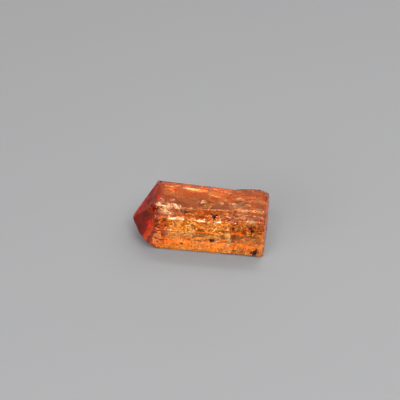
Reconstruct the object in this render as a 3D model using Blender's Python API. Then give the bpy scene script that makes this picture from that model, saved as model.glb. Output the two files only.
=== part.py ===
import bpy
import bmesh
import math
import random
from mathutils import Matrix, Vector

# An imperial topaz crystal: a striated prism with a slanted point on the left
# and a broken, nearly flat end on the right. A cross crack splits its length
# into a long block with the point and a short block that stands a little prouder.
# The crystal lies on one of its long faces. +X runs along it to the broken end,
# +Z is up and -Y is the front. Lengths below are in millimetres, angles in degrees.
MM = 0.001
AXIS_HEIGHT = 4.3
CRACK_X = 5.89
BLOCK_OVERLAP = 0.12
POINT_REACH = -12.6
END_REACH = 12.6

# Topaz grows two kinds of long face, M_FACE and L_FACE away from its short
# cross axis on either side, and this crystal lies with that axis turned down.
CROSS_AXIS = -43.4
M_FACE = 27.9
L_FACE = 46.6

# Each long face: its name, the way it looks (0 is the front, 90 is up), its
# distance from the axis at mid-length, and how much it leans in per millimetre.
LONG_FACES = (
    ("back_low", CROSS_AXIS - 180.0 + L_FACE, 5.74, 0.0),
    ("foot_back", -104.0, 4.89, 0.0),
    ("foot", CROSS_AXIS - L_FACE, 4.30, 0.0),
    ("foot_front", CROSS_AXIS - M_FACE, 5.13, 0.007),
    ("front_low", CROSS_AXIS + M_FACE, 4.97, 0.021),
    ("front", CROSS_AXIS + L_FACE, 5.67, 0.017),
    ("shoulder", 80.0, 4.93, 0.0),
    ("roof", CROSS_AXIS + 181.0 - L_FACE, 4.48, -0.006),
    ("roof_back", CROSS_AXIS + 180.0 - M_FACE, 4.95, 0.010),
    ("back", CROSS_AXIS + 180.0 + M_FACE, 5.13, 0.034),
)
SHORT_FACES = (
    ("back_low", CROSS_AXIS - 180.0 + L_FACE, 5.67, 0.0),
    ("foot_back", -104.0, 4.84, 0.0),
    ("foot", CROSS_AXIS - L_FACE, 4.25, 0.0),
    ("foot_front", CROSS_AXIS - M_FACE, 5.04, 0.0),
    ("front_low", CROSS_AXIS + M_FACE, 4.85, 0.012),
    ("front", CROSS_AXIS + L_FACE, 5.58, 0.010),
    ("shoulder", 80.0, 4.96, -0.004),
    ("roof", CROSS_AXIS + 181.0 - L_FACE, 4.57, -0.008),
    ("roof_back", 105.0, 4.15, -0.118),
    ("back", CROSS_AXIS + 180.0 + M_FACE, 5.13, 0.008),
)

# Each face of the point: the way it looks round the axis, how far its normal
# turns away from the axis, and its distance from the middle of the crystal.
POINT_FACES = (
    (95.40, 38.87, 8.78),
    (11.02, 42.17, 9.26),
    (77.93, 85.66, 5.56),
    (166.0, 29.87, 9.67),
    (-62.0, 33.09, 10.24),
    (-51.92, 53.70, 8.82),
    (-128.0, 43.00, 8.31),
    (11.31, 5.82, 11.51),
    (91.0, 42.5, 9.05),
    (18.0, 39.0, 9.62),
)

# The broken end is given the same way, seen from the other side: one wide
# cleavage, worn edges, and the two corners that are knocked off.
END_FACES = (
    (39.0, 1.5, 11.42),
    (118.0, 16.0, 12.27),
    (118.0, 38.0, 12.04),
    (116.0, 66.0, 9.20),
    (91.0, 50.0, 10.64),
    (-30.0, 32.0, 12.23),
    (-45.0, 62.0, 10.07),
)

# Growth terraces: the long faces step in and out along straight lines, all but
# the flat one that the crystal lies on.
FLAT_FACE = "foot"
TERRACE_WIDTH = 0.62
TERRACE_DEPTH = 0.075
TERRACE_RISER = 0.05
CORNER_FRACTION = 0.07

# Striae are long tapering furrows, bars are the same thing standing proud,
# pits are short etched hollows. Each row: face, how many, smallest and largest
# length, width and depth. The word "point" stands for the faces of the point.
STRIAE = (
    ("front", 14, (2.0, 9.0), (0.08, 0.16), (0.035, 0.07)),
    ("front_low", 26, (1.6, 8.0), (0.08, 0.18), (0.035, 0.08)),
    ("shoulder", 16, (1.6, 7.0), (0.08, 0.18), (0.04, 0.08)),
    ("roof", 30, (2.0, 9.0), (0.08, 0.18), (0.035, 0.08)),
    ("roof_back", 10, (2.0, 8.0), (0.08, 0.16), (0.035, 0.07)),
    ("back", 24, (2.0, 9.0), (0.10, 0.20), (0.04, 0.08)),
    ("back_low", 10, (2.0, 7.0), (0.10, 0.18), (0.04, 0.07)),
)
BARS = (
    ("front", 3, (2.5, 6.0), (0.20, 0.35), (0.03, 0.06)),
    ("front_low", 8, (2.5, 7.0), (0.22, 0.45), (0.035, 0.07)),
    ("shoulder", 6, (2.0, 6.0), (0.18, 0.35), (0.04, 0.08)),
    ("roof", 10, (2.5, 7.0), (0.25, 0.60), (0.035, 0.07)),
    ("roof_back", 3, (2.5, 6.0), (0.20, 0.40), (0.03, 0.06)),
    ("back", 8, (2.5, 7.0), (0.28, 0.55), (0.035, 0.07)),
)
PITS = (
    ("front", 12, (0.20, 0.45), (0.12, 0.24), (0.07, 0.14)),
    ("front_low", 20, (0.20, 0.50), (0.12, 0.28), (0.07, 0.15)),
    ("shoulder", 18, (0.22, 0.55), (0.14, 0.30), (0.08, 0.17)),
    ("roof", 28, (0.20, 0.55), (0.12, 0.30), (0.07, 0.16)),
    ("roof_back", 6, (0.20, 0.40), (0.12, 0.24), (0.07, 0.13)),
    ("back", 14, (0.20, 0.50), (0.12, 0.28), (0.07, 0.14)),
    ("point", 16, (0.20, 0.50), (0.14, 0.30), (0.06, 0.12)),
)
SPINDLE_ROOT = 0.09
FEATURE_GAP = 0.05
FIELD_START = -6.9
FIELD_END = 10.7
CRACK_CLEAR = 0.3

# Chips: shell-shaped hollows. Each row: a place on the worn edge, the way it
# opens, the radius of the shell, how deep it bites, its stretch along the length.
CHIPS = (
    ((11.32, -5.38, 8.35), (0.60, -0.55, 0.60), 1.20, 0.30, 1.0),
    ((11.30, 0.60, 8.72), (0.75, 0.0, 0.66), 1.50, 0.16, 1.0),
    ((11.36, -5.32, 5.20), (0.70, -0.70, 0.0), 1.10, 0.16, 1.0),
    ((11.40, -4.70, 2.60), (0.75, -0.65, -0.1), 0.90, 0.12, 1.0),
    ((11.55, 5.55, 3.00), (0.70, 0.70, 0.0), 1.60, 0.28, 1.0),
    ((5.55, 4.20, 8.22), (0.0, 0.60, 0.80), 1.20, 0.12, 1.3),
    ((-7.96, 4.81, 7.99), (-0.30, 0.50, 0.80), 0.90, 0.16, 1.0),
    ((-6.35, -5.55, 8.22), (-0.40, -0.60, 0.70), 1.00, 0.18, 1.0),
    ((8.90, -4.05, 0.35), (0.0, -0.80, -0.60), 1.10, 0.14, 1.4),
    ((-2.30, -5.52, 8.36), (0.0, -0.62, 0.78), 1.00, 0.09, 5.0),
    ((2.60, -5.46, 8.36), (0.0, -0.62, 0.78), 0.80, 0.08, 2.2),
    ((7.30, -5.38, 8.40), (0.0, -0.62, 0.78), 0.80, 0.09, 2.0),
    ((-5.60, -3.10, 8.78), (0.0, -0.05, 1.0), 1.50, 0.07, 1.5),
    ((-4.75, -3.95, 8.66), (0.0, -0.15, 1.0), 1.00, 0.06, 1.2),
    ((-4.10, -4.90, 8.48), (0.0, -0.30, 0.95), 0.90, 0.10, 0.8),
    ((0.45, -0.50, 8.82), (0.0, 0.0, 1.0), 1.20, 0.05, 0.35),
    ((-8.60, -4.75, 2.15), (-0.60, -0.70, -0.4), 0.80, 0.10, 1.0),
    ((-0.60, -4.12, 0.55), (0.0, -0.75, -0.66), 0.90, 0.08, 2.5),
    ((3.10, 5.35, 3.30), (0.0, 1.0, 0.05), 1.20, 0.07, 1.8),
    ((-4.40, 4.70, 7.70), (0.0, 0.70, 0.70), 0.90, 0.08, 2.0),
)
CHIP_ROUNDS = 3
WELD_DISTANCE = 0.0002 * MM

# The cross crack is a groove let into the front faces where the blocks meet.
CRACK_WIDTH = 0.10
CRACK_DEPTH = 0.16
CRACK_FACES = ("front", "front_low", "shoulder")

# Ledges step back into the broken end beyond a line across it: how deep,
# which way the line looks, and how far it lies from the axis.
END_LEDGES = (
    (0.16, -140.0, 3.4),
    (0.10, 150.0, 2.9),
    (0.07, -20.0, 4.3),
)
LEDGE_SIZE = 14.0

TOPAZ_COLOR = (0.83, 0.29, 0.075, 1.0)
TOPAZ_ROUGHNESS = 0.12
TOPAZ_INDEX = 1.62


def clear_scene():
    for obj in list(bpy.data.objects):
        bpy.data.objects.remove(obj, do_unlink=True)


def new_collection(name, hidden):
    found = bpy.data.collections.new(name)
    bpy.context.scene.collection.children.link(found)
    found.hide_render = hidden
    return found


def object_from(mesh_builder, name, collection):
    mesh = bpy.data.meshes.new(name)
    mesh_builder.to_mesh(mesh)
    mesh_builder.free()
    obj = bpy.data.objects.new(name, mesh)
    collection.objects.link(obj)
    return obj


def looking(angle):
    turn = math.radians(angle)
    return Vector((0.0, -math.cos(turn), math.sin(turn)))


def face_normal(angle, lean):
    return (looking(angle) + Vector((lean, 0.0, 0.0))).normalized()


def section(faces, x):
    """Corners of the crystal's outline at x, one before each face, as (y, z)."""
    corners = []
    for index, (_, angle, distance, lean) in enumerate(faces):
        _, last_angle, last_distance, last_lean = faces[index - 1]
        here = looking(angle)
        last = looking(last_angle)
        reach = distance - lean * x
        last_reach = last_distance - last_lean * x
        spread = here.y * last.z - here.z * last.y
        y = (reach * last.z - last_reach * here.z) / spread
        z = (last_reach * here.y - reach * last.y) / spread
        corners.append((y, z + AXIS_HEIGHT))
    return corners


def terraces(faces, seed):
    """For each face, where its terraces break (as a share of its width) and
    how deep each lies. Both ends of a face stay on its own plane."""
    rng = random.Random(seed)
    corners = section(faces, 0.0)
    plan = []
    for index, row in enumerate(faces):
        width = math.dist(corners[index], corners[(index + 1) % len(corners)])
        count = 0 if row[0] == FLAT_FACE else int(width / TERRACE_WIDTH)
        breaks = []
        depth = 0.0
        for step in range(1, count):
            even = (step - 0.5 + rng.uniform(-0.3, 0.3)) / (count - 1)
            share = CORNER_FRACTION + (1.0 - 2.0 * CORNER_FRACTION) * even
            is_last = step == count - 1
            next_depth = 0.0 if is_last else -TERRACE_DEPTH * rng.random()
            breaks.append((share, depth, next_depth))
            depth = next_depth
        plan.append(breaks)
    return plan


def ring(faces, plan, x):
    """The terraced outline at x as points in space."""
    corners = section(faces, x)
    points = []
    for index, (_, angle, _, _) in enumerate(faces):
        start = Vector((x, *corners[index]))
        end = Vector((x, *corners[(index + 1) % len(corners)]))
        outward = looking(angle)
        half_riser = 0.5 * TERRACE_RISER / (end - start).length
        points.append(start)
        for share, depth, next_depth in plan[index]:
            points.append(start.lerp(end, share - half_riser) + outward * depth)
            points.append(start.lerp(end, share + half_riser) + outward * next_depth)
    return [point * MM for point in points]


def block(faces, plan, x_from, x_to):
    """A loft between the outlines at both ends, closed with flat caps."""
    bm = bmesh.new()
    first = [bm.verts.new(point) for point in ring(faces, plan, x_from)]
    last = [bm.verts.new(point) for point in ring(faces, plan, x_to)]
    count = len(first)
    for index in range(count):
        after = (index + 1) % count
        bm.faces.new((first[index], first[after], last[after], last[index]))
    bm.faces.new(first[::-1])
    bm.faces.new(last)
    bmesh.ops.recalc_face_normals(bm, faces=bm.faces[:])
    return bm


def slice_off(bm, normal, distance):
    """Cuts away what lies beyond the plane and closes the cut with one face."""
    middle = Vector((0.0, 0.0, AXIS_HEIGHT))
    cut = bmesh.ops.bisect_plane(
        bm,
        geom=bm.verts[:] + bm.edges[:] + bm.faces[:],
        plane_co=(middle + normal * distance) * MM,
        plane_no=normal,
        clear_outer=True,
    )
    rim = [item for item in cut["geom_cut"] if isinstance(item, bmesh.types.BMEdge)]
    if rim:
        bmesh.ops.edgeloop_fill(bm, edges=rim)


def tilted(angle, tilt, toward):
    """A direction that leaves the length axis by tilt and turns to angle."""
    along = Vector((toward * math.cos(math.radians(tilt)), 0.0, 0.0))
    return along + looking(angle) * math.sin(math.radians(tilt))


def spindle(bm, place, outward, length, width, depth, standing):
    """A four-sided cone, long along the crystal: its wide end is at the
    surface and its tip is depth below it (or above it, when standing)."""
    lift = depth + SPINDLE_ROOT if standing else 0.35 * depth
    sign = 1.0 if standing else -1.0
    across = outward.cross(Vector((1.0, 0.0, 0.0))).normalized()
    along = across.cross(outward).normalized()
    made = bmesh.ops.create_cone(
        bm, cap_ends=True, segments=4, radius1=0.5, radius2=0.0, depth=1.0
    )
    frame = Matrix((along, across * sign, outward * sign)).transposed().to_4x4()
    stretch = Matrix.Diagonal((length, width, depth + lift, 1.0))
    centre = place + outward * sign * (0.5 * (depth + lift) - lift)
    move = Matrix.Translation(centre * MM) @ frame @ stretch @ Matrix.Scale(MM, 4)
    bmesh.ops.transform(bm, matrix=move, verts=made["verts"])


def point_on(face_name, x, share):
    """The place on a long face at x, sunk to its terrace, and the way it looks."""
    faces, plan = (LONG_FACES, LONG_PLAN) if x < CRACK_X else (SHORT_FACES, SHORT_PLAN)
    index = [row[0] for row in faces].index(face_name)
    corners = section(faces, x)
    start = Vector((x, *corners[index]))
    end = Vector((x, *corners[(index + 1) % len(corners)]))
    _, angle, _, lean = faces[index]
    depth = 0.0
    for break_share, _, next_depth in plan[index]:
        if share > break_share:
            depth = next_depth
    outward = face_normal(angle, lean)
    return start.lerp(end, share) + outward * depth, outward


def point_place(rng):
    """A place on the slanted point, found by going along the length from
    anywhere in the outline to the face that closes it there."""
    side = Vector((0.0, rng.uniform(-4.0, 4.5), rng.uniform(-3.0, 3.2)))
    best = None
    for angle, tilt, distance in POINT_FACES:
        normal = tilted(angle, tilt, -1.0)
        x = (distance - normal.dot(side)) / normal.x
        if best is None or x > best[0]:
            best = (x, normal)
    x, normal = best
    return Vector((x, side.y, side.z + AXIS_HEIGHT)), normal


def near_other(place, half, taken):
    for other, other_half in taken:
        gap = place - other
        across = math.hypot(gap.y, gap.z)
        if abs(gap.x) < half[0] + other_half[0] and across < half[1] + other_half[1]:
            return True
    return False


def scatter(rows, seed, standing, taken):
    """Spindles strewn over the long faces with none touching another."""
    rng = random.Random(seed)
    bm = bmesh.new()
    for face_name, count, lengths, widths, depths in rows:
        made = 0
        tries = 0
        while made < count and tries < 60 * count:
            tries += 1
            length = rng.uniform(*lengths)
            width = rng.uniform(*widths)
            if face_name == "point":
                place, outward = point_place(rng)
            else:
                x = rng.uniform(FIELD_START + 0.5 * length, FIELD_END - 0.5 * length)
                if abs(x - CRACK_X) < 0.5 * length + CRACK_CLEAR:
                    continue
                place, outward = point_on(face_name, x, rng.uniform(0.08, 0.92))
            half = (0.5 * length + FEATURE_GAP, 0.5 * width + FEATURE_GAP)
            if near_other(place, half, taken):
                continue
            taken.append((place, half))
            spindle(bm, place, outward, length, width, rng.uniform(*depths), standing)
            made += 1
    return bm


def crack_groove():
    """Thin wedges let into the faces along the cross crack."""
    bm = bmesh.new()
    for name in CRACK_FACES:
        start, outward = point_on(name, CRACK_X - 0.01, 0.06)
        end, _ = point_on(name, CRACK_X - 0.01, 0.90)
        across = end - start
        middle = (start + end) * 0.5
        made = bmesh.ops.create_cone(
            bm, cap_ends=True, segments=4, radius1=0.5, radius2=0.0, depth=1.0
        )
        frame = Matrix((Vector((1.0, 0.0, 0.0)), across.normalized(), -outward)).transposed()
        flip = 1.0 if frame.determinant() > 0 else -1.0
        frame = Matrix((Vector((flip, 0.0, 0.0)), across.normalized(), -outward)).transposed()
        depth = 1.5 * CRACK_DEPTH
        stretch = Matrix.Diagonal((CRACK_WIDTH * 1.5, across.length, depth, 1.0))
        centre = middle + outward * (0.5 * depth - CRACK_DEPTH)
        centre.x = CRACK_X
        move = Matrix.Translation(centre * MM) @ frame.to_4x4() @ stretch @ Matrix.Scale(MM, 4)
        bmesh.ops.transform(bm, matrix=move, verts=made["verts"])
    return bm


def chip_shells():
    bm = bmesh.new()
    for place, opening, radius, bite, stretch in CHIPS:
        centre = Vector(place) + Vector(opening).normalized() * (radius - bite)
        made = bmesh.ops.create_icosphere(bm, subdivisions=CHIP_ROUNDS, radius=radius * MM)
        move = Matrix.Translation(centre * MM) @ Matrix.Diagonal((stretch, 1.0, 1.0, 1.0))
        bmesh.ops.transform(bm, matrix=move, verts=made["verts"])
    return bm


def end_ledge(depth, angle, distance):
    """A slab that takes one shallow step out of the broken end."""
    bm = bmesh.new()
    made = bmesh.ops.create_cube(bm, size=LEDGE_SIZE * MM)
    turn = Matrix.Rotation(math.radians(-angle), 4, "X")
    face_x = END_FACES[0][2] - depth
    centre = Vector((face_x + 0.5 * LEDGE_SIZE, 0.0, AXIS_HEIGHT))
    centre += looking(angle) * (distance + 0.5 * LEDGE_SIZE)
    bmesh.ops.transform(bm, matrix=Matrix.Translation(centre * MM) @ turn, verts=made["verts"])
    return bm


def combine(target, other, operation):
    step = target.modifiers.new(f"{operation.lower()}_{other.name}", "BOOLEAN")
    step.operation = operation
    step.solver = "EXACT"
    step.object = other


def settled(obj):
    """The finished mesh with the middle of its base moved to the origin."""
    bpy.context.view_layer.update()
    graph = bpy.context.evaluated_depsgraph_get()
    mesh = bpy.data.meshes.new_from_object(obj.evaluated_get(graph))
    bm = bmesh.new()
    bm.from_mesh(mesh)
    bmesh.ops.triangulate(bm, faces=bm.faces[:], quad_method="BEAUTY", ngon_method="BEAUTY")
    bmesh.ops.remove_doubles(bm, verts=bm.verts[:], dist=WELD_DISTANCE)
    bmesh.ops.dissolve_degenerate(bm, edges=bm.edges[:], dist=WELD_DISTANCE)
    bmesh.ops.triangulate(bm, faces=bm.faces[:])
    low = Vector((min(v.co[axis] for v in bm.verts) for axis in range(3)))
    high = Vector((max(v.co[axis] for v in bm.verts) for axis in range(3)))
    middle = (low + high) * 0.5
    bmesh.ops.translate(bm, vec=Vector((-middle.x, -middle.y, -low.z)), verts=bm.verts[:])
    bmesh.ops.recalc_face_normals(bm, faces=bm.faces[:])
    bm.to_mesh(mesh)
    bm.free()
    obj.modifiers.clear()
    obj.data = mesh


def topaz_material():
    material = bpy.data.materials.new("topaz")
    material.use_nodes = True
    shader = material.node_tree.nodes["Principled BSDF"]
    shader.inputs["Base Color"].default_value = TOPAZ_COLOR
    shader.inputs["Roughness"].default_value = TOPAZ_ROUGHNESS
    shader.inputs["Metallic"].default_value = 0.0
    shader.inputs["IOR"].default_value = TOPAZ_INDEX
    shader.inputs["Transmission Weight"].default_value = 1.0
    return material


LONG_PLAN = terraces(LONG_FACES, 11)
SHORT_PLAN = terraces(SHORT_FACES, 23)

clear_scene()
crystal_parts = new_collection("imperial_topaz_crystal", False)
cutters = new_collection("cutters", True)

long_block = block(LONG_FACES, LONG_PLAN, POINT_REACH, CRACK_X)
for look, tilt, reach in POINT_FACES:
    slice_off(long_block, tilted(look, tilt, -1.0), reach)
crystal = object_from(long_block, "topaz_crystal", crystal_parts)
crystal.data.materials.append(topaz_material())

short_block = block(SHORT_FACES, SHORT_PLAN, CRACK_X - BLOCK_OVERLAP, END_REACH)
for look, tilt, reach in END_FACES:
    slice_off(short_block, tilted(look, tilt, 1.0), reach)

occupied = []
helpers = (
    ("short_block", short_block, "UNION"),
    ("proud_bars", scatter(BARS, 7, True, occupied), "UNION"),
    ("pits", scatter(PITS, 5, False, occupied), "DIFFERENCE"),
    ("striae", scatter(STRIAE, 3, False, occupied), "DIFFERENCE"),
    ("cross_crack", crack_groove(), "DIFFERENCE"),
    ("chips", chip_shells(), "DIFFERENCE"),
) + tuple(
    (f"end_ledge_{number}", end_ledge(*row), "DIFFERENCE")
    for number, row in enumerate(END_LEDGES)
)
for helper_name, helper_mesh, how in helpers:
    helper = object_from(helper_mesh, helper_name, cutters)
    helper.display_type = "WIRE"
    helper.hide_render = True
    combine(crystal, helper, how)
settled(crystal)
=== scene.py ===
import math
import bpy
import numpy as np
from mathutils import Matrix, Vector


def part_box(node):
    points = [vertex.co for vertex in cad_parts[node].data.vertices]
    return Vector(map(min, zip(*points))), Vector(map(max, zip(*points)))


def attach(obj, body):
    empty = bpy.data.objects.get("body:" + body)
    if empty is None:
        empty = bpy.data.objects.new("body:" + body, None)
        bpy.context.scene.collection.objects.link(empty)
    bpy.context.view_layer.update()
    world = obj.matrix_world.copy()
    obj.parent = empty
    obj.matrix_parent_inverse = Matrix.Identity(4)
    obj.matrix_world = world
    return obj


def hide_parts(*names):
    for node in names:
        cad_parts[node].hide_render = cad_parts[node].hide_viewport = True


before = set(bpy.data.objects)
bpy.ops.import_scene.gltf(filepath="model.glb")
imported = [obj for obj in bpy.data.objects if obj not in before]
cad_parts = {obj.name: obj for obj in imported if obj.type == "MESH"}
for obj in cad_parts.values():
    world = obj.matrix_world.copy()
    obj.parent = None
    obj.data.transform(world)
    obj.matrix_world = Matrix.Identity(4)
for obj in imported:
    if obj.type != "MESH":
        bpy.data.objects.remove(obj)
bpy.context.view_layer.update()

# Rough imperial topaz lying on a pale table. Lengths are millimetres until a mesh is made.
# Round the long axis, 0 degrees looks to the front (-Y), 90 up and 180 to the back.
mm = 0.001


def say(text):
    print("topaz scene:", text)


def looking(angle):
    # the unit vector that looks out at an angle round the long axis
    turn = np.radians(angle)
    return np.stack([np.zeros_like(turn), -np.cos(turn), np.sin(turn)], -1)


def soft(edge0, edge1, value):
    # smooth step: 0 at edge0, 1 at edge1
    t = np.clip((value - edge0) / (edge1 - edge0), 0.0, 1.0)
    return t * t * (3.0 - 2.0 * t)


def hashed(i, j, seed):
    # a chance number from 0 to 1 for each corner of the lattice
    h = np.sin(i * 127.1 + j * 311.7 + seed * 74.7) * 43758.5453
    return h - np.floor(h)


def noise(a, b, seed):
    # value noise: random numbers on a square lattice, joined by smooth steps, from -1 to 1
    i, j = np.floor(a), np.floor(b)
    fa, fb = a - i, b - j
    fa, fb = fa * fa * (3 - 2 * fa), fb * fb * (3 - 2 * fb)
    low = hashed(i, j, seed) * (1 - fa) + hashed(i + 1, j, seed) * fa
    high = hashed(i, j + 1, seed) * (1 - fa) + hashed(i + 1, j + 1, seed) * fa
    return 2.0 * (low * (1 - fb) + high * fb) - 1.0


def stepped(value, levels, sharpness):
    # terraces: the value snaps to whole levels, with a steep smooth riser between them
    scaled = value * levels
    base = np.floor(scaled)
    return (base + soft(0.5 - sharpness, 0.5 + sharpness, scaled - base)) / levels


def unit(vectors):
    return vectors / np.linalg.norm(vectors, axis=-1, keepdims=True)


def meshPiece(name, points, quads, tris):
    # a smooth-shaded mesh from arrays of points, four-sided faces and three-sided faces
    mesh = bpy.data.meshes.new(name)
    faces = quads.astype(int).tolist() + tris.astype(int).tolist()
    mesh.from_pydata((points * mm).tolist(), [], faces)
    mesh.polygons.foreach_set("use_smooth", np.ones(len(mesh.polygons), bool))
    piece = bpy.data.objects.new(name, mesh)
    bpy.context.scene.collection.objects.link(piece)
    return piece


def fan(pole, ring):
    # triangles from a pole to each side of a ring
    return np.stack([np.full(len(ring), pole), ring, np.roll(ring, -1)], -1)


# The crystal

crystalShape = dict(
    axisHeight=4.3,   # of the axis that face distances are measured from
    crackX=5.89, nearCrack=(0.16, 0.08, 0.0448, 0.016),   # the cross crack, close rows beside it
    # long faces from the lower back round by the foot and the front:
    # way it looks, distance from the axis, lean per millimetre, columns across, corner radius
    longFaces=[
        (-176.8, 5.74, 0.0, 20, 0.1), (-104.0, 4.89, 0.0, 6, 0.12),
        (-90.0, 4.3, 0.0, 14, 0.08), (-71.3, 5.13, 0.007, 6, 0.08),
        (-15.5, 4.97, 0.021, 70, 0.14), (3.2, 5.67, 0.017, 36, 0.3),
        (80.0, 4.93, 0.0, 42, 0.1), (91.0, 4.48, -0.006, 62, 0.5),
        (108.7, 4.95, 0.01, 28, 0.35), (164.5, 5.13, 0.034, 44, 0.12)],
    # the same faces right of the crack, where the columns and corners are the same
    shortFaces=[
        (-176.8, 5.67, 0.0), (-104.0, 4.84, 0.0), (-90.0, 4.25, 0.0), (-71.3, 5.04, 0.0),
        (-15.5, 4.85, 0.012), (3.2, 5.58, 0.01), (80.0, 4.96, -0.004), (91.0, 4.57, -0.008),
        (105.0, 4.15, -0.118), (164.5, 5.13, 0.008)],
    footFace=2, ridgeCorner=6,
    # the ridge is worn rounder from here to here, fading over these lengths, by this much
    ridgeWorn=(-6.3, 2.9), wornFade=(0.8, 0.5), wornExtra=0.24, wornWaver=0.35,
    # faces of the point and of the broken end: turn round the axis, tilt, distance
    pointFaces=[
        (95.4, 38.87, 8.78), (11.02, 42.17, 9.26), (77.93, 85.66, 5.56), (166.0, 29.87, 9.67),
        (-62.0, 33.09, 10.24), (-51.92, 53.7, 8.82), (-128.0, 43.0, 8.31), (11.31, 5.82, 11.51),
        (91.0, 42.5, 9.05), (18.0, 39.0, 9.62)],
    endFaces=[
        (39.0, 1.5, 11.42), (118.0, 16.0, 12.27), (118.0, 38.0, 12.04), (116.0, 66.0, 9.2),
        (91.0, 50.0, 10.64), (-30.0, 32.0, 12.23), (-45.0, 62.0, 10.07)],
    pointMiddle=(-0.95, -0.45), endMiddle=(0.3, 0.1),   # y, z where the caps close
    longRows=104, shortRows=42, pointRows=36, endRows=20,
    nearEdge=(0.03, 0.07, 0.13, 0.2),   # columns and rows this close beside an edge
    nearShare=0.2,   # and no further in than this share of the face
    capShares=(0.994, 0.985, 0.975),   # first outlines inside the rim of an end
    edgeBlend=0.04,   # rounding where the faces of the point meet
    # the point's red: how much of it fades at the rim, from which share of the way out, its
    # reach past the rim; then the share where the growth steps fade
    rimTint=0.22, tintShare=0.75, tintReach=1.3, stepShare=0.93,
)

# growth relief on the long faces, nearly all inward; one amount per long face where listed
reliefLook = dict(
    terraceDepth=0.075, terraceWidth=1.15, terraceLength=17.0, terraceLevels=4, terraceRiser=0.12,
    ribDepth=0.034, ribWidth=0.42, ribLength=7.0, ribLevels=3, ribRiser=0.2,
    grooveDepth=0.04, grooveWidth=0.55, grooveLength=11.0, grooveOpen=0.16,
    lumpDepth=0.02, lumpSize=0.5,
    etchDepth=0.036, etchSize=0.34, etchLength=0.55, rightEtch=1.5,
    etchOn=(1.4, 1.0, 1.4, 1.0, 0.9, 1.0, 0.7, 0.4, 0.6, 1.2),
    footShare=0.6,
    rimDepth=0.06, rimSize=0.28, rimReach=1.1,
    edgeFade=0.14, rimFade=0.12,   # the relief fades this close to an edge or a rim
    crackDepth=0.34, crackWidth=0.03,
    crackOn=(0.0, 0.0, 0.0, 0.3, 1.0, 0.5, 0.06, 0.03, 0.1, 0.3),
    pitCount=150, pitSpan=(-7.2, 11.0), pitDepth=(0.03, 0.1), pitLength=(0.1, 0.26),
    pitWidth=(0.07, 0.15),
    pointSteps=(0.05, 1.3, 5), endSteps=(0.1, 2.2, 9),   # depth, size and seed on each end
)

# shell-shaped chips: place on a worn edge, way it opens, radius, bite, stretch along X
crystalChips = [
    ((11.32, -5.38, 8.35), (0.6, -0.55, 0.6), 1.2, 0.3, 1.0),
    ((11.3, 0.6, 8.72), (0.75, 0.0, 0.66), 1.5, 0.16, 1.0),
    ((11.36, -5.32, 5.2), (0.7, -0.7, 0.0), 1.1, 0.16, 1.0),
    ((11.4, -4.7, 2.6), (0.75, -0.65, -0.1), 0.9, 0.12, 1.0),
    ((11.36, -2.6, 8.86), (0.75, -0.1, 0.66), 0.9, 0.16, 1.0),
    ((11.38, -5.34, 6.6), (0.72, -0.68, 0.1), 0.9, 0.12, 1.0),
    ((11.55, 5.55, 3.0), (0.7, 0.7, 0.0), 1.6, 0.28, 1.0),
    ((5.55, 4.2, 8.22), (0.0, 0.6, 0.8), 1.2, 0.12, 1.3),
    ((-7.96, 4.81, 7.99), (-0.3, 0.5, 0.8), 0.9, 0.16, 1.0),
    ((-6.35, -5.55, 8.22), (-0.4, -0.6, 0.7), 1.0, 0.18, 1.0),
    ((8.9, -4.05, 0.35), (0.0, -0.8, -0.6), 1.1, 0.14, 1.4),
    ((2.6, -5.46, 8.36), (0.0, -0.62, 0.78), 0.8, 0.08, 2.2),
    ((7.3, -5.38, 8.4), (0.0, -0.62, 0.78), 0.8, 0.09, 2.0),
    ((-5.6, -3.1, 8.78), (0.0, -0.05, 1.0), 1.5, 0.07, 1.5),
    ((-4.75, -3.95, 8.66), (0.0, -0.15, 1.0), 1.0, 0.06, 1.2),
    ((-4.1, -4.9, 8.48), (0.0, -0.3, 0.95), 0.9, 0.1, 0.8),
    ((0.45, -0.5, 8.82), (0.0, 0.0, 1.0), 1.2, 0.05, 0.35),
]


def cornerLines(faces):
    # where neighbouring faces meet: each corner's (y, z) at x = 0 and its change per millimetre
    angle, reach0, lean = (np.array([row[k] for row in faces], float) for k in (0, 1, 2))
    hy, hz = -np.cos(np.radians(angle)), np.sin(np.radians(angle))
    ly, lz = np.roll(hy, 1), np.roll(hz, 1)
    spread = hy * lz - hz * ly

    def meeting(reach):
        last = np.roll(reach, 1)
        return np.stack([(reach * lz - last * hz) / spread, (last * hy - reach * ly) / spread], -1)

    return meeting(reach0), meeting(-lean)


def outlineColumns(shape):
    # the long face that each column lies on and its share of the way across, with columns
    # close beside both corners so that a small corner radius shows
    corners, _ = cornerLines(shape["longFaces"])
    widths = np.linalg.norm(np.roll(corners, -1, 0) - corners, axis=-1)
    near = np.array(shape["nearEdge"])
    faceOf, share = [], []
    for index, (row, width) in enumerate(zip(shape["longFaces"], widths)):
        beside = near[near < shape["nearShare"] * width]
        middle = np.linspace(beside[-1], width - beside[-1], row[3])[1:-1]
        across = np.concatenate([[0.0], beside, middle, width - beside[::-1]])
        faceOf.append(np.full(len(across), index))
        share.append(across / width)
    return np.concatenate(faceOf), np.concatenate(share), widths


def cutFaces(rows, toward):
    # normals and distances of the faces that close one end
    data = np.array(rows)
    tilt = np.radians(data[:, 1])
    normals = looking(data[:, 0]) * np.sin(tilt)[:, None]
    normals[:, 0] = toward * np.cos(tilt)
    return normals, data[:, 2]


def blended(values, width, sign):
    # smooth maximum (sign 1) or minimum (sign -1) over the last axis
    top = (sign * values).max(-1, keepdims=True)
    return sign * (top[..., 0] + width * np.log(np.exp((sign * values - top) / width).sum(-1)))


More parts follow.
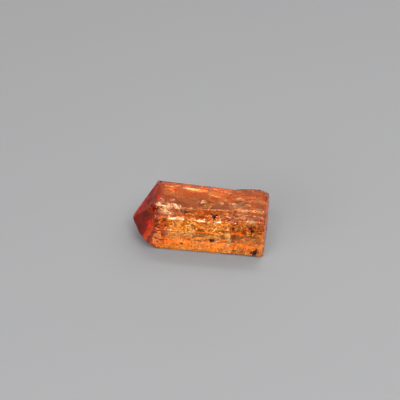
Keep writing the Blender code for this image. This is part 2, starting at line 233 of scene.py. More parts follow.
def cornerRadius(shape, corner, x):
    # the radius of a long edge at x, larger where the ridge is worn
    radius = np.array([row[4] for row in shape["longFaces"]])[corner]
    (start, stop), (fadeIn, fadeOut) = shape["ridgeWorn"], shape["wornFade"]
    worn = soft(start, start + fadeIn, x) * soft(stop, stop - fadeOut, x)
    waver = shape["wornWaver"] * noise(x / 0.9, 0.3, 61)
    worn = worn * (1.0 - shape["wornWaver"] + waver)
    return radius + shape["wornExtra"] * worn * (corner == shape["ridgeCorner"])


def blockSurface(shape, faces, faceOf, share, x):
    # Points of one block: straight lines along X, each a share of the way from one corner of
    # its face to the next, with both corners rolled to an arc. Returns places and normals.
    at0, change = cornerLines(faces)
    following = (faceOf + 1) % len(faces)
    start, stop = (at0[corner][:, None] + change[corner][:, None] * x[..., None]
                   for corner in (faceOf, following))
    width = np.linalg.norm(stop - start, axis=-1)
    along = (stop - start) / width[..., None]
    angle = np.array([row[0] for row in faces])
    normal = looking(angle)[faceOf][:, None, 1:]
    distance = share[:, None] * width
    depth = np.zeros_like(distance)
    for corner, gap, side in ((faceOf, distance, 1.0), (following, width - distance, -1.0)):
        half = 0.5 * np.radians((angle - np.roll(angle, 1)) % 360.0)[corner][:, None]
        radius = cornerRadius(shape, corner[:, None], x)
        tangent = radius * np.tan(half)
        turn = np.clip(1.0 - gap / tangent, 0.0, 1.0) * half
        distance = distance + side * np.where(gap < tangent, tangent - radius * np.sin(turn) - gap, 0.0)
        depth = depth + radius * (1.0 - np.cos(turn))
    yz = start + along * distance[..., None] - normal * depth[..., None]
    return np.concatenate([x[..., None], yz], -1)


def bodyRelief(body, faceOf, share, widths, fromRim, shape, relief):
    # growth terraces, ribs and furrows drawn out along X, etched hillocks, pits, and the crack;
    # the large steps in across and block give each face and each block a pattern of its own
    x = body[..., 0]
    across = (faceOf * 11.3 + share * widths[faceOf])[:, None] + 0.0 * x
    right = x > shape["crackX"]
    block = np.where(right, 40.0, 0.0)

    def drawnOut(kind, seed):
        # noise as wide across and as long along X as the relief of that kind
        return noise(across / relief[kind + "Width"], x / relief[kind + "Length"] + block, seed)

    terrace = stepped(drawnOut("terrace", 3), relief["terraceLevels"], relief["terraceRiser"])
    h = -relief["terraceDepth"] * (0.5 + 0.5 * terrace)
    rib = stepped(drawnOut("rib", 8), relief["ribLevels"], relief["ribRiser"])
    h -= relief["ribDepth"] * (0.5 + 0.5 * rib)
    h -= relief["grooveDepth"] * soft(relief["grooveOpen"], 0.0, np.abs(drawnOut("groove", 12)))
    lump = noise(across / relief["lumpSize"], x / relief["lumpSize"], 21)
    h -= relief["lumpDepth"] * soft(0.1, 0.9, lump)
    etch = noise(across / relief["etchSize"], x / relief["etchLength"], 27)
    etch += 0.5 * noise(across / relief["etchSize"] * 2.1, x / relief["etchLength"] * 2.3, 28)
    amount = np.array(relief["etchOn"])[faceOf][:, None] * np.where(right, relief["rightEtch"], 1.0)
    h -= relief["etchDepth"] * amount * (0.5 + 0.5 * etch)
    rough = noise(across / relief["rimSize"], x / relief["rimSize"], 33)
    h -= relief["rimDepth"] * (0.5 + 0.5 * rough) * soft(relief["rimReach"], 0.1, fromRim)
    # the faces keep their edges
    fromEdge = np.minimum(share, 1.0 - share)[:, None] * widths[faceOf][:, None]
    h = h * soft(0.0, relief["edgeFade"], fromEdge) * soft(0.0, relief["rimFade"], fromRim)
    h = np.where((faceOf == shape["footFace"])[:, None], relief["footShare"] * h, h)
    rng = np.random.default_rng(14)
    for _ in range(relief["pitCount"]):
        column, centre = rng.integers(0, len(faceOf)), rng.uniform(*relief["pitSpan"])
        length, breadth = rng.uniform(*relief["pitLength"]), rng.uniform(*relief["pitWidth"])
        deep = rng.uniform(*relief["pitDepth"]) * (faceOf[column] != shape["footFace"])
        near = np.abs(x - centre) / length + np.abs(across - across[column, 0]) / breadth
        h -= deep * np.clip(1.0 - near, 0.0, 1.0)
    gape = np.array(relief["crackOn"])[faceOf][:, None]
    return h - relief["crackDepth"] * gape * np.exp(-((x - shape["crackX"]) / relief["crackWidth"]) ** 2)


def bitten(points, chips):
    # every point inside a chip's shell is pushed in, against the chip's opening, to the shell
    for place, opening, radius, bite, stretch in chips:
        opening = np.array(opening) / np.linalg.norm(opening)
        centre = np.array(place) + opening * (radius - bite)
        scale = np.array([1.0 / stretch, 1.0, 1.0])
        offset, way = (points - centre) * scale, opening * scale
        a, b, c = way @ way, offset @ way, (offset * offset).sum(-1) - radius ** 2
        push = np.where(c < 0, (b + np.sqrt(np.maximum(b * b - a * c, 0.0))) / a, 0.0)
        points = points - push[..., None] * opening
    return points


def capRelief(yz, share, steps):
    # shallow growth steps on an end, fading out at its rim
    depth, size, seed = steps
    y, z = yz[..., 0] / size + 3.1, yz[..., 1] / size * 0.6 + 7.7
    n = noise(y, z, seed) + 0.4 * noise(y * 3, z * 3.6, seed + 1)
    return depth * (0.5 + 0.5 * stepped(n, 3, 0.1)) * soft(1.0, 0.9, share)[None]


def crystalSurface(shape, relief):
    # Two blocks of straight lines along X meet at the crack. The lines start on the faces of the
    # point and stop on those of the broken end, so both rims are exact. Each end is a cap:
    # outlines that shrink to a middle, dropped onto its faces.
    faceOf, share, widths = outlineColumns(shape)
    columns = len(faceOf)
    ends = []
    for faces, rows, toward in ((shape["longFaces"], shape["pointFaces"], -1.0),
                                (shape["shortFaces"], shape["endFaces"], 1.0)):
        following = (faceOf + 1) % len(faces)
        line, slope = (part[faceOf] + (part[following] - part[faceOf]) * share[:, None]
                       for part in cornerLines(faces))
        normals, distances = cutFaces(rows, toward)
        meet = (distances - line @ normals[:, 1:].T) / (normals[:, 0] + slope @ normals[:, 1:].T)
        ends.append((blended(meet, shape["edgeBlend"], -toward), normals, distances))
    (startX, pointNormals, pointReach), (stopX, endNormals, endReach) = ends

    near, beside = np.array(shape["nearEdge"]), np.array(shape["nearCrack"])
    before, past = shape["crackX"] - beside, shape["crackX"] + beside[::-1]
    longShare = np.linspace(0.0, 1.0, shape["longRows"])[1:]
    firstX = startX[:, None] + near[-1]
    longX = np.concatenate([startX[:, None] + np.append(0.0, near),
                            firstX + (before[0] - firstX) * longShare,
                            np.tile(before[1:], (columns, 1))], 1)
    shortShare = np.linspace(0.0, 1.0, shape["shortRows"])[:-1]
    lastX = stopX[:, None] - near[-1]
    shortX = np.concatenate([np.tile(past[:-1], (columns, 1)),
                             past[-1] + (lastX - past[-1]) * shortShare,
                             stopX[:, None] - np.append(near[::-1], 0.0)], 1)
    x = np.concatenate([longX, shortX], 1)
    body = np.concatenate([blockSurface(shape, shape["longFaces"], faceOf, share, longX),
                           blockSurface(shape, shape["shortFaces"], faceOf, share, shortX)], 1)

    # relief moves each point along its face's outward way, turned half way on a shared corner
    ways = []
    for faces in (shape["longFaces"], shape["shortFaces"]):
        way = looking(np.array([row[0] for row in faces]))[faceOf]
        ways.append(np.where((share == 0.0)[:, None], unit(way + np.roll(way, 1, 0)), way)[:, None])
    isLong = np.arange(x.shape[1]) < longX.shape[1]
    way = np.where(isLong[None, :, None], *ways)
    fromRim = np.minimum(x - startX[:, None], stopX[:, None] - x)
    height = bodyRelief(body, faceOf, share, widths, fromRim, shape, relief)
    body = body + way * height[..., None]

    def cap(edge, middle, rows, normals, distances, sign):
        shares = np.append(shape["capShares"], np.linspace(shape["capShares"][-1], 0.0, rows)[1:-1])
        yz = np.array(middle) + (edge[:, None, 1:] - np.array(middle)) * shares[None, :, None]
        place = blended((distances - yz @ normals[:, 1:].T) / normals[:, 0], shape["edgeBlend"], sign)
        return np.concatenate([place[..., None], yz], -1), shares

    pointCap, pointShare = cap(body[:, 0], shape["pointMiddle"], shape["pointRows"],
                               pointNormals, pointReach, 1.0)
    endCap, endShare = cap(body[:, -1], shape["endMiddle"], shape["endRows"],
                           endNormals, endReach, -1.0)
    pointCap[..., 0] += capRelief(pointCap[..., 1:], pointShare, relief["pointSteps"])
    endCap[..., 0] -= capRelief(endCap[..., 1:], endShare, relief["endSteps"])
    poles = np.array([[pointCap[:, -1, 0].mean(), *shape["pointMiddle"]],
                      [endCap[:, -1, 0].mean(), *shape["endMiddle"]]])

    grid = np.concatenate([pointCap[:, ::-1], body, endCap], 1)
    points = np.concatenate([grid.reshape(-1, 3), poles]) + np.array([0.0, 0.0, shape["axisHeight"]])
    rows = grid.shape[1]
    index = np.arange(columns * rows).reshape(columns, rows)
    after = np.roll(index, -1, 0)
    quads = np.stack([index[:, :-1], index[:, 1:], after[:, 1:], after[:, :-1]], -1).reshape(-1, 4)
    fans = np.concatenate([fan(columns * rows, index[:, 0]),
                           fan(columns * rows + 1, index[:, -1])[:, [0, 2, 1]]])

    # marks: how far on the point, where its growth steps are, and which face, the two poles
    # last; the point and the broken end are counted as faces too
    onCap, onBody, onEnd = np.split(np.arange(rows), [pointCap.shape[1], rows - endCap.shape[1]])
    pointFace, endFace = len(shape["longFaces"]), len(shape["longFaces"]) + 1
    onPoint, steps = np.zeros((columns, rows)), np.zeros((columns, rows))
    onPoint[:, onCap] = 1.0 - shape["rimTint"] * soft(shape["tintShare"], 1.0, pointShare[::-1])
    onPoint[:, onBody] = (1.0 - shape["rimTint"]) * soft(shape["tintReach"], 0.0, x - startX[:, None])
    steps[:, onCap] = soft(1.0, shape["stepShare"], pointShare[::-1])
    face = np.repeat(faceOf[:, None], rows, 1)
    face[:, onCap] = pointFace
    face[:, onEnd] = endFace
    marks = dict(onPoint=np.append(onPoint, [1.0, 0.0]), steps=np.append(steps, [1.0, 0.0]),
                 face=np.append(face, [pointFace, endFace]))
    return bitten(points, crystalChips), quads, fans, marks


def fitted(points, box):
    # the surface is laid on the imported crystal: same middle in X and Y, same resting height
    low, high = points.min(0), points.max(0)
    wantLow, wantHigh = np.array(box[0]) / mm, np.array(box[1]) / mm
    shift = (wantLow + wantHigh) / 2 - (low + high) / 2
    shift[2] = wantLow[2] - low[2]
    return points + shift


skinLook = dict(
    # how matte each surface is: the ten long faces, then the point and the broken end
    onFace=(0.75, 0.8, 0.9, 0.6, 0.08, 0.1, 0.2, 0.85, 0.6, 0.75, 0.22, 0.4),
    blotch=0.45, blotchSize=0.9, blotchFine=0.3,
    # how much the skin of each of these surfaces is darkened toward the stain colour: painted shade,
    # most on the top faces and on the point, a little more past the crack
    shadeOn=(0.1, 0.1, 0.1, 0.1, 0.0, 0.0, 0.42, 0.48, 0.35, 0.1, 0.0, 0.6), rightShade=0.12,
    # a silvery patch near the point, its fade and how ragged it is; more frost past the crack
    silverBox=((-7.3, -4.9, 7.8), (-3.2, -2.2, 9.2)), silverFrost=0.15, silverFade=0.9,
    silverRagged=0.35, rightFrost=0.12,
)


def skinMarks(points, face, look):
    # matte amounts and painted shade at each point: by face, blotched by noise, silvery near the point,
    # more of both past the crack
    x, y, z = points.T
    right = x > crystalShape["crackX"]
    large, fine = (noise((x + z) / look[size], (y - z) / look[size], seed)
                   for size, seed in (("blotchSize", 71), ("blotchFine", 72)))
    blotch = large + 0.6 * fine
    low, high = np.array(look["silverBox"])
    inside = np.minimum(points - low, high - points).min(-1)
    silver = soft(0.0, look["silverFade"], inside + look["silverRagged"] * blotch)
    frost = np.array(look["onFace"])[face] * (1.0 + look["blotch"] * blotch)
    frost = frost + silver * look["silverFrost"] + right * look["rightFrost"] * soft(-0.2, 0.6, blotch)
    shade = np.array(look["shadeOn"])[face] + look["rightShade"] * right
    shade = shade * (1.0 + 0.35 * noise(x / 1.3, y + z, 91))
    return dict(frost=np.clip(frost, 0.0, 1.0), shade=shade)


points, quads, fans, marks = crystalSurface(crystalShape, reliefLook)
points = fitted(points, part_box("topaz_crystal"))
crystal = meshPiece("crystal_body", points, quads, fans)
marks.update(skinMarks(points, marks.pop("face"), skinLook))
for name, values in marks.items():
    layer = crystal.data.attributes.new(name, "FLOAT", "POINT")
    layer.data.foreach_set("value", values.astype(np.float32))
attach(crystal, "root")
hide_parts("topaz_crystal")
say(f"crystal, {len(points)} points, {2 * len(quads) + len(fans)} triangles")


# Shader expressions

class Wire:
    # a shader socket that stands in an expression; an operator adds a Math node
    def __init__(self, book, socket):
        self.book, self.socket = book, socket

    def __add__(self, other):
        return self.book.math("ADD", self, other)

    def __radd__(self, other):
        return self.book.math("ADD", other, self)

    def __sub__(self, other):
        return self.book.math("SUBTRACT", self, other)

    def __rsub__(self, other):
        return self.book.math("SUBTRACT", other, self)

    def __mul__(self, other):
        return self.book.math("MULTIPLY", self, other)

    def __rmul__(self, other):
        return self.book.math("MULTIPLY", other, self)

    def fraction(self):
        return self.book.math("FRACT", self)

    def ramp(self, low, high):
        # 0 at low, 1 at high, smooth between
        return self.book.node("MapRange", {"interpolation_type": "SMOOTHSTEP"},
                              {"Value": self, "From Min": low, "From Max": high})


class MaterialBook:
    # one material and the nodes written into it
    def __init__(self, name):
        self.material = bpy.data.materials.new(name)
        self.material.use_nodes = True
        self.tree = self.material.node_tree
        self.tree.nodes.clear()
        self.output = self.tree.nodes.new("ShaderNodeOutputMaterial")

    def node(self, kind, settings=None, inputs=None, output=0):
        # a node by type, its settings first, then a value or a wire for each named socket
        made = self.tree.nodes.new("ShaderNode" + kind)
        for key, value in (settings or {}).items():
            setattr(made, key, value)
        for key, value in (inputs or {}).items():
            if isinstance(value, Wire):
                self.tree.links.new(value.socket, made.inputs[key])
            else:
                made.inputs[key].default_value = value
        return Wire(self, made.outputs[output])

    def math(self, operation, *values):
        return self.node("Math", {"operation": operation}, dict(enumerate(values)))

    def place(self):
        return self.node("TexCoord", output="Object")

    def axes(self):
        split = self.node("SeparateXYZ", {}, {0: self.place()})
        return [Wire(self, split.socket.node.outputs[i]) * (1.0 / mm) for i in range(3)]

    def noise(self, scale, detail=3.0, roughness=0.5, stretch=(1.0, 1.0, 1.0)):
        # noise with so many waves per metre, drawn out by the stretch
        vector = self.node("Mapping", {}, {"Vector": self.place(), "Scale": stretch})
        return self.node("TexNoise", {}, {"Vector": vector, "Scale": scale, "Detail": detail,
                                                    "Roughness": roughness})

    def mark(self, name):
        return self.node("Attribute", {"attribute_name": name}, {}, "Fac")

    def mixed(self, factor, first, second):
        # the first colour or wire at factor 0, the second at 1
        sockets = {0: factor}
        for key, colour in ((6, first), (7, second)):
            sockets[key] = colour if isinstance(colour, Wire) else (*colour, 1.0)
        return self.node("Mix", {"data_type": "RGBA"}, sockets, 2)

    def bump(self, height, distance, strength=1.0):
        return self.node("Bump", {}, {"Strength": strength, "Distance": distance,
                                                "Height": height})

    def finish(self, surface, volume=None):
        self.tree.links.new(surface.socket, self.output.inputs["Surface"])
        if volume is not None:
            self.tree.links.new(volume.socket, self.output.inputs["Volume"])
        return self.material


topazLook = dict(
    ior=1.62, mirrorTint=(0.34, 0.2, 0.12, 1.0), polish=0.04, frost=0.52,
    # the skin left of the crack, right of it, at the rim of the point and on the point
    clearTint=(1.0, 0.97, 0.93), rightTint=(0.93, 0.86, 0.74), rightFrom=(5.8, 5.95),
    rimTint=(0.6, 0.12, 0.05), pointTint=(0.17, 0.016, 0.012),
    absorbColour=(0.984, 0.765, 0.0, 1.0), absorbDensity=450.0,
    # the stain colour is also the colour of the painted shade
    stain=0.8, stainAndShadeTint=(0.4, 0.15, 0.05), stainWaves=3000.0, stainEdge=(0.53, 0.63),
    # waves per metre along X, Y and Z of the striae, and of the grain
    striae=(60.0, 1400.0, 1400.0), fineStriae=(160.0, 3800.0, 3800.0), grainWaves=2600.0,
    # heights in millimetres, of the fine relief and of the growth steps on the point
    grainHeight=0.021, stepWay=(0.31, -0.82, 0.47), stepPeriod=0.35, stepHeight=0.07,
    stepWaver=0.8, stepWaves=500.0,
)


def topazMaterial(look):
    # clear orange glass-like crystal: depth gives the colour, fine striae and grain the bump; the skin's
    # tint adds stains and painted shade on the top faces and the point
    book = MaterialBook("topaz")
    x, y, z = book.axes()
    onPoint, frost = book.mark("onPoint"), book.mark("frost")
    onRight = x.ramp(*look["rightFrom"])
    striae = book.noise(1.0, 4.0, 0.6, look["striae"])
    fine = book.noise(1.0, 2.0, 0.6, look["fineStriae"])
    grain = book.noise(look["grainWaves"], 3.0, 0.6)
    # the striae fade on the point, the grain is stronger past the crack
    height = striae * (1.0 - 0.8 * onPoint) + 0.35 * fine * (1.0 - 0.9 * onPoint)
    height = height + grain * (0.25 + 0.3 * onRight)
    # growth steps on the point: a saw-toothed height along one way over its faces
    a, b, c = look["stepWay"]
    waver = look["stepWaver"] * book.noise(look["stepWaves"], 2.0)
    steps = ((x * a + y * b + z * c) * (1.0 / look["stepPeriod"]) + waver).fraction()
    height = height * look["grainHeight"] + (1.0 - steps) * book.mark("steps") * look["stepHeight"]
    rough = look["polish"] + look["frost"] * frost
    stained = book.noise(look["stainWaves"], 3.0, 0.65).ramp(*look["stainEdge"]) * look["stain"]
    clear = book.mixed(onRight, look["clearTint"], look["rightTint"])
    # random stains, and painted shade on the top faces and the point, both pull the skin toward the same
    # dark tint
    clear = book.mixed(stained + book.mark("shade"), clear, look["stainAndShadeTint"])
    tint = book.mixed(onPoint, book.mixed(onPoint, clear, look["rimTint"]), look["pointTint"])
    glass = book.node("BsdfPrincipled", {}, {
        "Base Color": tint, "Roughness": rough, "IOR": look["ior"], "Transmission Weight": 1.0,
        "Specular Tint": look["mirrorTint"], "Normal": book.bump(height, mm)})
    absorb = book.node("VolumeAbsorption", {}, {"Color": look["absorbColour"],
                                                          "Density": look["absorbDensity"]})
    return book.finish(glass, absorb)


crystal.data.materials.append(topazMaterial(topazLook))
say("topaz material")


# Mineral grains, flakes and healed cracks inside, and pale flecks that are painted glints and sheen

# Grains: place along X, angle round the axis, depth under the skin, half length, half height,
# turn in degrees, kind (0 dark, 1 rusty)
grainPlaces = [
    (2.61, -7.0, 0.24, 0.44, 0.34, -16, 0), (9.8, -42.0, 0.28, 0.48, 0.62, 10, 0),
    (9.97, -29.0, 0.22, 0.12, 0.42, 8, 0), (2.74, 45.0, 0.22, 0.34, 0.3, 40, 0),
    (2.42, 48.5, 0.2, 0.38, 0.14, 45, 0), (3.06, 49.0, 0.2, 0.36, 0.14, -45, 0),
    (2.8, 42.5, 0.2, 0.15, 0.32, 5, 0), (6.05, 28.5, 0.22, 0.13, 0.3, 10, 0),
    (8.8, 30.5, 0.24, 0.34, 0.26, -30, 1), (9.7, 32.0, 0.24, 0.4, 0.15, 25, 1),
    (9.2, 27.5, 0.26, 0.32, 0.3, 40, 0), (9.1, 23.5, 0.24, 0.18, 0.24, 0, 1),
    (6.33, 13.5, 0.2, 0.3, 0.06, -12, 1), (7.0, 14.5, 0.2, 0.2, 0.06, 14, 1),
    (10.55, 6.5, 0.22, 0.2, 0.11, 15, 1), (-2.57, -29.0, 0.4, 0.3, 0.24, 0, 1),
    (-5.08, 13.0, 0.18, 0.14, 0.05, 40, 0), (-8.4, -13.0, 0.2, 0.12, 0.12, 20, 1),
    (0.48, 20.5, 0.2, 0.16, 0.09, 0, 0), (1.89, 24.0, 0.2, 0.14, 0.07, 20, 1),
    (4.44, 43.0, 0.18, 0.34, 0.12, 0, 1), (-2.02, 49.0, 0.16, 0.36, 0.05, 0, 0),
    (-1.25, 48.5, 0.16, 0.14, 0.06, 0, 0), (3.38, -3.5, 0.2, 0.1, 0.08, 0, 1),
    (-1.01, -34.0, 0.24, 0.13, 0.1, 0, 1), (7.72, -39.0, 0.24, 0.14, 0.12, 0, 0),
    (5.3, 41.5, 0.18, 0.22, 0.05, 8, 1), (-6.6, 30.0, 0.2, 0.16, 0.16, 0, 1),
]

# Specks in drifts under the skin: from x to x, from angle to angle round the axis, how many,
# least and greatest half size, least and greatest depth, how far they are drawn out along X
speckDrifts = dict(
    dark_grains=[
        (-7.2, 5.7, -42, 38, 150, 0.05, 0.11, 0.06, 0.4, 1.7),
        (-7.2, 11.2, -24, 8, 60, 0.05, 0.1, 0.05, 0.3, 1.6),
        (-7.2, 11.2, 60, 114, 260, 0.02, 0.045, 0.03, 0.1, 7.0),
        (5.95, 6.7, -44, 22, 150, 0.03, 0.09, 0.04, 0.3, 0.8),
        (-4.2, -0.4, 47, 52.5, 90, 0.03, 0.06, 0.02, 0.06, 4.0),
        (-6.8, -4.8, 14, 34, 36, 0.05, 0.1, 0.04, 0.2, 1.5),
        (7.6, 10.9, 10, 42, 90, 0.05, 0.12, 0.04, 0.3, 1.2),
        (-9.3, -7.0, -45, 58, 170, 0.03, 0.08, 0.04, 0.3, 1.0),
        (-7.2, 11.2, 38, 140, 200, 0.02, 0.06, 0.06, 0.6, 2.6),
        (-5.5, 4.5, 42, 57, 90, 0.02, 0.04, 0.04, 0.15, 7.0),
        (-7.0, 11.0, -50, -28, 160, 0.03, 0.08, 0.05, 0.3, 1.5),
        (6.0, 11.2, -42, 38, 220, 0.04, 0.1, 0.05, 0.4, 1.4),
        (-7.0, 11.0, 140, 320, 100, 0.04, 0.1, 0.1, 2.0, 1.3)],
    rusty_grains=[
        (-7.6, -5.6, -40, 35, 60, 0.04, 0.1, 0.08, 0.8, 1.2),
        (-9.6, -7.2, -45, 58, 150, 0.04, 0.1, 0.04, 0.3, 1.0),
        (2.8, 8.5, 12, 50, 130, 0.04, 0.12, 0.08, 0.6, 1.5),
        (5.95, 6.5, -44, 22, 190, 0.05, 0.12, 0.04, 0.3, 0.8),
        (5.5, 11.0, 10, 40, 200, 0.05, 0.12, 0.04, 0.4, 1.3),
        (-7.0, 11.0, -50, -28, 160, 0.05, 0.12, 0.04, 0.3, 1.5),
        (7.5, 11.2, -42, 60, 150, 0.04, 0.13, 0.08, 1.0, 1.3),
        (-7.0, 6.0, -42, 36, 90, 0.04, 0.1, 0.1, 1.0, 1.6),
        (-7.0, 11.0, 140, 320, 80, 0.04, 0.12, 0.1, 2.0, 1.3)],
    gold_flakes_and_painted_highlights=[
        (-7.7, 5.75, -46, 37, 1150, 0.07, 0.22, 0.05, 0.55, 1.7),
        (-7.4, 5.75, -26, 6, 420, 0.07, 0.22, 0.05, 0.55, 1.7),
        (-7.2, 5.6, -44, 32, 150, 0.14, 0.3, 0.5, 1.5, 1.4),
        (6.1, 11.0, -44, 32, 110, 0.1, 0.24, 0.5, 1.5, 1.3),
        (4.6, 5.8, -46, 16, 700, 0.06, 0.15, 0.03, 0.3, 0.9),
        (6.3, 11.3, -46, 8, 520, 0.08, 0.19, 0.05, 0.5, 1.2),
        (6.3, 11.3, 8, 38, 300, 0.05, 0.13, 0.05, 0.5, 1.2),
        (6.05, 11.3, -26, 6, 300, 0.06, 0.15, 0.05, 0.5, 1.2),
        (-7.0, 11.0, -50, -28, 260, 0.07, 0.16, 0.05, 0.5, 1.5),
        (-7.6, 11.3, 38, 62, 330, 0.03, 0.08, 0.05, 0.4, 2.6),
        (-7.2, 11.2, 60, 104, 260, 0.02, 0.05, 0.03, 0.08, 7.0),
        # these two rows of drawn-out flakes along the upper edge of the roof are a painted highlight
        # streak
        (-7.2, 5.0, 100, 118, 160, 0.03, 0.06, 0.03, 0.06, 8.0),
        (-6.2, 0.9, 113, 122, 260, 0.05, 0.1, 0.02, 0.08, 4.0),
        (-7.7, 11.3, 62, 142, 1000, 0.025, 0.065, 0.05, 0.5, 3.0),
        (-6.5, 10.8, 64, 112, 520, 0.05, 0.13, 0.5, 1.8, 1.6),
        (-7.4, 11.2, 142, 314, 900, 0.03, 0.12, 0.08, 2.0, 1.6),
        (-7.9, -6.3, 58, 140, 220, 0.03, 0.09, 0.06, 0.7, 1.3),
        (0.5, 11.2, 98, 122, 200, 0.03, 0.07, 0.03, 0.1, 4.0),
        (-9.2, -6.9, -45, 58, 620, 0.04, 0.1, 0.04, 0.35, 1.0)],
    # pale flecks, most of them painted highlights in a near-white colour: the patch by the point is a
    # painted sheen, the thin rows along the ridge and on the roof's upper edge a painted highlight line,
    # the short rows on the roof painted glints
    pale_flecks_and_painted_glints=[
        (-7.3, -3.0, 42, 64, 800, 0.03, 0.09, 0.03, 0.1, 1.6),
        (4.6, 11.0, 44, 74, 330, 0.03, 0.07, 0.03, 0.12, 1.5),
        (4.8, 11.0, 64, 90, 190, 0.03, 0.07, 0.02, 0.08, 1.5),
        (5.1, 5.78, -44, 8, 130, 0.05, 0.1, 0.03, 0.08, 0.7),
        (-7.8, -6.4, 55, 140, 60, 0.02, 0.05, 0.04, 0.12, 1.0),
        (-4.9, 1.9, 34.5, 38.5, 330, 0.04, 0.08, 0.03, 0.07, 3.5),
        (1.9, 3.8, 35.5, 38.5, 60, 0.04, 0.07, 0.03, 0.07, 3.5),
        (5.2, 6.6, 37, 42, 30, 0.03, 0.07, 0.03, 0.07, 2.5),
        (8.2, 10.9, 37, 45, 60, 0.03, 0.08, 0.03, 0.08, 1.8),
        (-5.5, 4.5, 42, 56, 70, 0.02, 0.035, 0.03, 0.08, 7.0),
        (-6.9, -4.4, 56, 80, 260, 0.04, 0.1, 0.02, 0.06, 1.2),
        (0.1, 0.6, 73, 92, 60, 0.08, 0.15, 0.02, 0.05, 0.8),
        (-0.7, -0.1, 72, 80, 16, 0.06, 0.12, 0.03, 0.06, 0.9),
        (-1.9, -1.5, 76, 84, 9, 0.06, 0.12, 0.03, 0.06, 1.2),
        (3.4, 3.9, 80, 85, 12, 0.06, 0.12, 0.02, 0.05, 1.6),
        (-3.4, -1.4, 116.8, 119.6, 60, 0.05, 0.09, 0.02, 0.05, 3.0),
        (-7.5, 11.2, 40, 136, 240, 0.02, 0.055, 0.04, 0.12, 2.2),
        (-5.3, 1.6, 5, 16, 70, 0.03, 0.06, 0.03, 0.08, 3.0),
        (-7.5, 11.2, -45, 34, 190, 0.03, 0.075, 0.04, 0.2, 1.5),
        (5.0, 11.0, 68, 102, 300, 0.03, 0.07, 0.02, 0.06, 1.6)],
)

# healed cracks, sheets of droplets: middle, way the sheet faces, half sizes, droplets
veilSheets = [
    ((-3.2, -3.4, 4.2), (0.15, -0.95, 0.35), (3.4, 2.4), 260),
    ((1.8, -3.7, 3.2), (-0.25, -0.9, -0.3), (3.0, 2.2), 220),
    ((-0.6, -2.6, 6.6), (0.05, -0.6, 0.8), (4.2, 1.2), 300),
    ((3.9, -3.0, 6.4), (0.5, -0.75, 0.45), (1.7, 1.6), 200),
    ((8.3, -3.3, 4.6), (-0.35, -0.9, 0.2), (2.2, 2.4), 260),
    ((7.6, -1.5, 7.2), (0.1, -0.5, 0.85), (2.6, 1.1), 300),
    ((-5.4, -2.4, 7.0), (-0.4, -0.5, 0.8), (1.3, 1.2), 350),
    ((-4.4, 1.2, 4.8), (-0.6, 0.7, 0.4), (2.0, 1.8), 300),
    ((2.6, 2.4, 5.0), (0.3, 0.9, 0.3), (2.6, 1.8), 350),
    ((8.2, 2.2, 4.4), (0.8, 0.5, 0.2), (1.5, 1.9), 300),
]

# two colours, roughness and colour waves per metre of each kind of speck
speckFinish = dict(
    dark_grains=((0.01, 0.0015, 0.001), (0.03, 0.004, 0.002), 0.5, 3000.0),
    rusty_grains=((0.1, 0.01, 0.005), (0.045, 0.005, 0.003), 0.6, 3000.0),
    gold_flakes_and_painted_highlights=((1.0, 0.66, 0.22), (1.0, 0.43, 0.09), 0.7, 1100.0),
    # the pale flecks' near-white colour is painted glint and sheen
    pale_flecks_and_painted_glints=((1.0, 0.97, 0.84), (1.0, 0.84, 0.56), 0.5, 2500.0),
    healed_cracks=((1.0, 0.78, 0.42), (1.0, 0.6, 0.22), 0.7, 900.0),
)

insideLook = dict(
    # specks lie in small clumps and wider patches, with few between them
    clumpLong=0.9, clumpTall=0.42, patchLong=1.9, patchTall=1.1, patchShare=0.5,
    clumpLow=-0.2, clumpHigh=0.5, between=0.04, arcPerDegree=0.087,
    smallPower=1.8, nearPower=1.5,   # higher for more small ones and for more near the skin
    sizeSink=1.3, jitter=0.06,   # extra depth for a large speck, scatter along the skin
    tipGap=0.02, margin=0.16,    # least depth of a speck's tips and of a crack's droplets
    sightLine=(-0.08, 0.93, -0.36),   # nothing pale lies along this way in front of a grain
    sightGap=0.02, sightWide=1.3, sightBack=0.3,
    # least cover over each corner of a speck and of a grain, tested in slabs this wide
    cover=0.012, grainCover=0.09, slab=0.25,
    flatness=0.35, wobble=0.35, sheetDepth=0.1, sheetBend=0.5,
    grainThick=0.3, grainMost=0.16, grainWobble=0.3,
)


def skinOf(piece):
    # the middle, outward way, area and angle round the axis of each face of a mesh
    mesh = piece.data
    count = len(mesh.polygons)
    centre, normal, area = np.empty(count * 3), np.empty(count * 3), np.empty(count)
    mesh.polygons.foreach_get("center", centre)
    mesh.polygons.foreach_get("normal", normal)
    mesh.polygons.foreach_get("area", area)
    centre, normal = centre.reshape(-1, 3) / mm, normal.reshape(-1, 3)
    angle = np.degrees(np.arctan2(centre[:, 2] - crystalShape["axisHeight"], -centre[:, 1]))
    return dict(centre=centre, normal=normal, area=area, angle=angle)


def underSpots(skin, rows):
    # the place of each grain, under the face nearest its X and its angle, and the way out
    turn = (skin["angle"] - rows[:, 1, None] + 180.0) % 360.0 - 180.0
    away = (skin["centre"][:, 0] - rows[:, 0, None]) ** 2 + np.radians(turn * 5.0) ** 2
    spot = away.argmin(1)
    return skin["centre"][spot] - skin["normal"][spot] * rows[:, 2, None], skin["normal"][spot]


def underSkin(points, skin, slab):
    # how far each point lies under the nearest face of the skin, slab by slab along X
    depth = np.empty(len(points))
    slabs = np.floor(points[:, 0] / slab)
    for index in np.unique(slabs):
        chosen = slabs == index
        near = np.abs(skin["centre"][:, 0] - (index + 0.5) * slab) < 2.5 * slab
        centre, normal, place = skin["centre"][near], skin["normal"][near], points[chosen]
        nearest = ((centre ** 2).sum(-1) - 2.0 * place @ centre.T).argmin(1)
        depth[chosen] = ((centre[nearest] - place) * normal[nearest]).sum(-1)
    return depth


